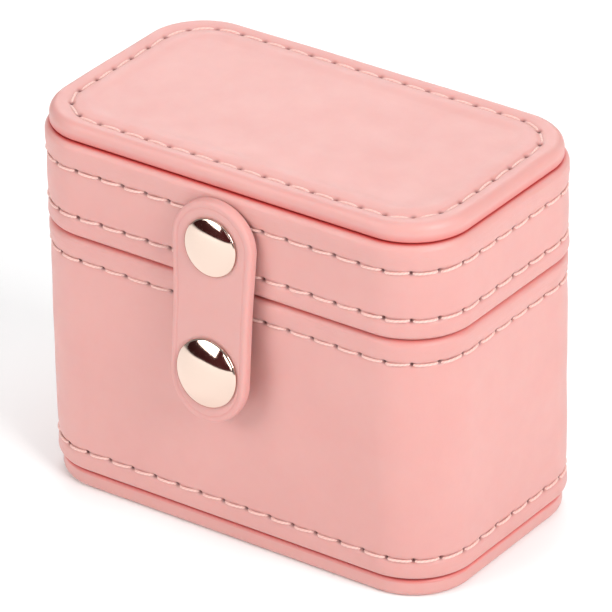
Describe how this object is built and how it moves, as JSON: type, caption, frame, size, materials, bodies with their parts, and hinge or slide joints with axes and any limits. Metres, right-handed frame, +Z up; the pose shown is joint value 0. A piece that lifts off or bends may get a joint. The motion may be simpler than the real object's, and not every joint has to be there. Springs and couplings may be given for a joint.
{
  "type": "jewellery case",
  "caption": "Small stitched leather box with rounded corners, a back-hinged lid, a press-stud strap, ring rolls and a side well.",
  "frame": {"origin": "the middle of the underside, on the face that the case rests on", "axes": "+X along the long side, -Y the front with the strap, +Y the back with the hinge, +Z up"},
  "size_m": [0.0794, 0.0523, 0.0659],
  "materials": {
    "pink_leather": "smooth pink coated leather, satin, fine grain",
    "strap_leather": "smooth pink coated leather with a painted edge, satin",
    "sewing_thread": "pale pink waxed polyester thread",
    "backing_board": "grey-brown rigid board",
    "blush_lining": "short-pile blush suedette",
    "rose_gold": "polished pale rose-gold plate",
    "nickelled_steel": "nickelled steel"
  },
  "bodies": {
    "base": {"sole_panel": "pink_leather", "base_floor_board": "backing_board", "base_wall_board": "backing_board", "base_side_leather": "pink_leather", "base_thread_lower": "sewing_thread", "base_thread_upper": "sewing_thread", "collar_board": "backing_board", "collar_lining": "blush_lining", "floor_lining": "blush_lining", "hinge_strip": "pink_leather", "ring_block": "blush_lining", "divider": "blush_lining", "ring_roll_1": "blush_lining", "ring_roll_2": "blush_lining", "ring_roll_3": "blush_lining", "stud": "rose_gold", "stud_washer": "nickelled_steel"},
    "lid": {"lid_side_leather": "pink_leather", "lid_thread_lower": "sewing_thread", "lid_thread_upper": "sewing_thread", "lid_wall_board": "backing_board", "lid_side_lining": "blush_lining", "lid_top_board": "backing_board", "lid_pad": "blush_lining", "top_panel": "pink_leather", "top_thread": "sewing_thread", "strap_head": "strap_leather", "rivet_cap": "rose_gold", "rivet_back": "rose_gold"},
    "flap": {"strap_flap": "strap_leather", "snap_cap": "rose_gold", "snap_socket": "rose_gold"}
  },
  "joints": [
    {"name": "lid_hinge", "type": "hinge", "parent": "base", "child": "lid", "pos_m": [0, 0.02295, 0.0464], "axis": [-1, 0, 0], "range_deg": [0, 105], "deforming": ["hinge_strip"]},
    {"name": "strap_flex", "type": "hinge", "parent": "lid", "child": "flap", "pos_m": [0, -0.02586, 0.0482], "axis": [-1, 0, 0], "range_deg": [0, 90]}
  ]
}
